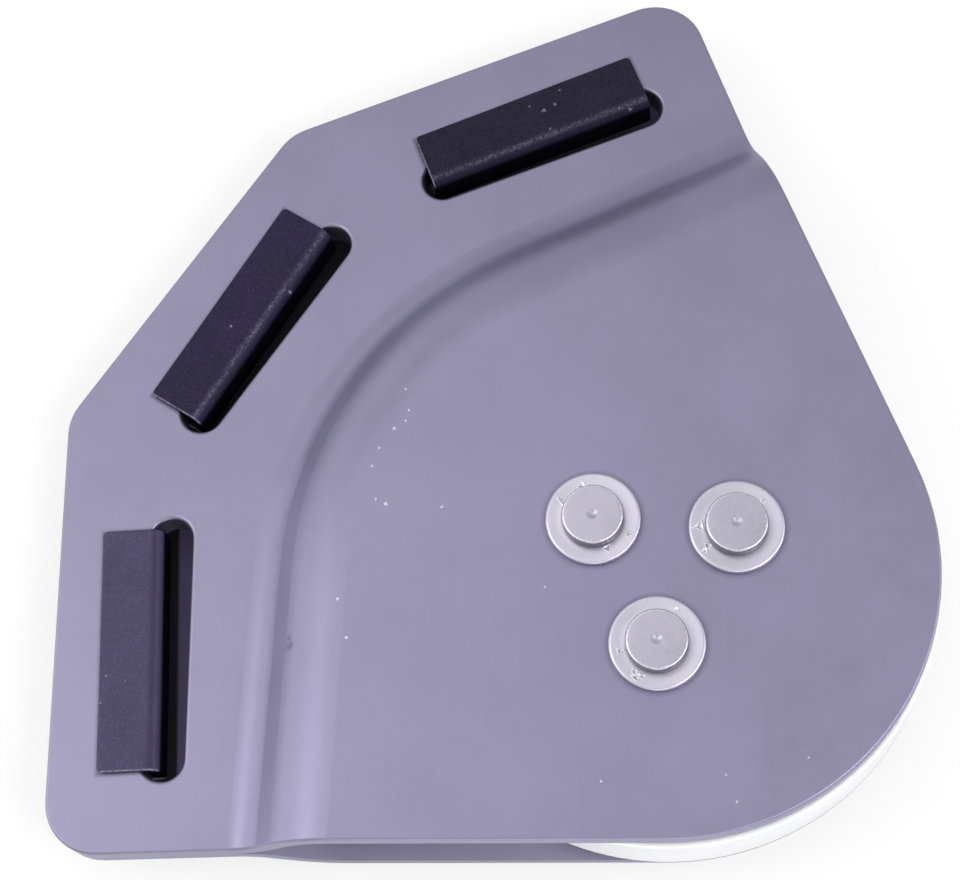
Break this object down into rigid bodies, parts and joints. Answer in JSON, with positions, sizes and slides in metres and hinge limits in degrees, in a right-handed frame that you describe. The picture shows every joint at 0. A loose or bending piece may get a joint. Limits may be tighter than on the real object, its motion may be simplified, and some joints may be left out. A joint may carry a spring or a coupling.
{
  "type": "clew block",
  "caption": "Flat webbing-on clew block: two joggled cheek plates riveted round a grooved rope sheave on a ball race, with lined webbing slots in the flange.",
  "frame": {"origin": "centre of the sheave, in the plane where the two flanges meet", "axes": "+Z along the sheave axis towards the front cheek; +Y from the sheave towards the middle webbing slot; +X across the block towards the right-hand slot"},
  "size_m": [0.2022, 0.1636, 0.0346],
  "materials": {
    "anodised_plate": "hard anodised, satin grey",
    "acetal": "turned acetal, satin white",
    "hub_metal": "turned",
    "ball_steel": "polished stainless",
    "rivet_steel": "turned and peened stainless",
    "washer_steel": "stamped stainless",
    "black_plastic": "moulded black plastic, fine grain"
  },
  "bodies": {
    "block": {"front_cheek": "anodised_plate", "rear_cheek": "anodised_plate", "front_hub": "hub_metal", "rear_hub": "hub_metal", "rivet_1": "rivet_steel", "rivet_2": "rivet_steel", "rivet_3": "rivet_steel", "front_washer_1": "washer_steel", "front_washer_2": "washer_steel", "front_washer_3": "washer_steel", "rear_washer_1": "washer_steel", "rear_washer_2": "washer_steel", "rear_washer_3": "washer_steel", "left_slot_liner": "black_plastic", "middle_slot_liner": "black_plastic", "right_slot_liner": "black_plastic"},
    "sheave": {"sheave": "acetal"},
    "ball_race": {"ball_01": "ball_steel", "ball_02": "ball_steel", "ball_03": "ball_steel", "ball_04": "ball_steel", "ball_05": "ball_steel", "ball_06": "ball_steel", "ball_07": "ball_steel", "ball_08": "ball_steel", "ball_09": "ball_steel", "ball_10": "ball_steel", "ball_11": "ball_steel", "ball_12": "ball_steel", "ball_13": "ball_steel", "ball_14": "ball_steel", "ball_15": "ball_steel", "ball_16": "ball_steel", "ball_17": "ball_steel", "ball_18": "ball_steel", "ball_19": "ball_steel", "ball_20": "ball_steel", "ball_21": "ball_steel"}
  },
  "joints": [
    {"name": "sheave_spin", "type": "hinge", "parent": "block", "child": "sheave", "pos_m": [0, 0, 0], "axis": [0, 0, 1], "continuous": true},
    {"name": "ball_race_roll", "type": "hinge", "parent": "block", "child": "ball_race", "pos_m": [0, 0, 0], "axis": [0, 0, 1], "continuous": true}
  ],
  "couplings": [
    {"joint": "ball_race_roll", "follows": "sheave_spin", "ratio": 0.56897}
  ]
}
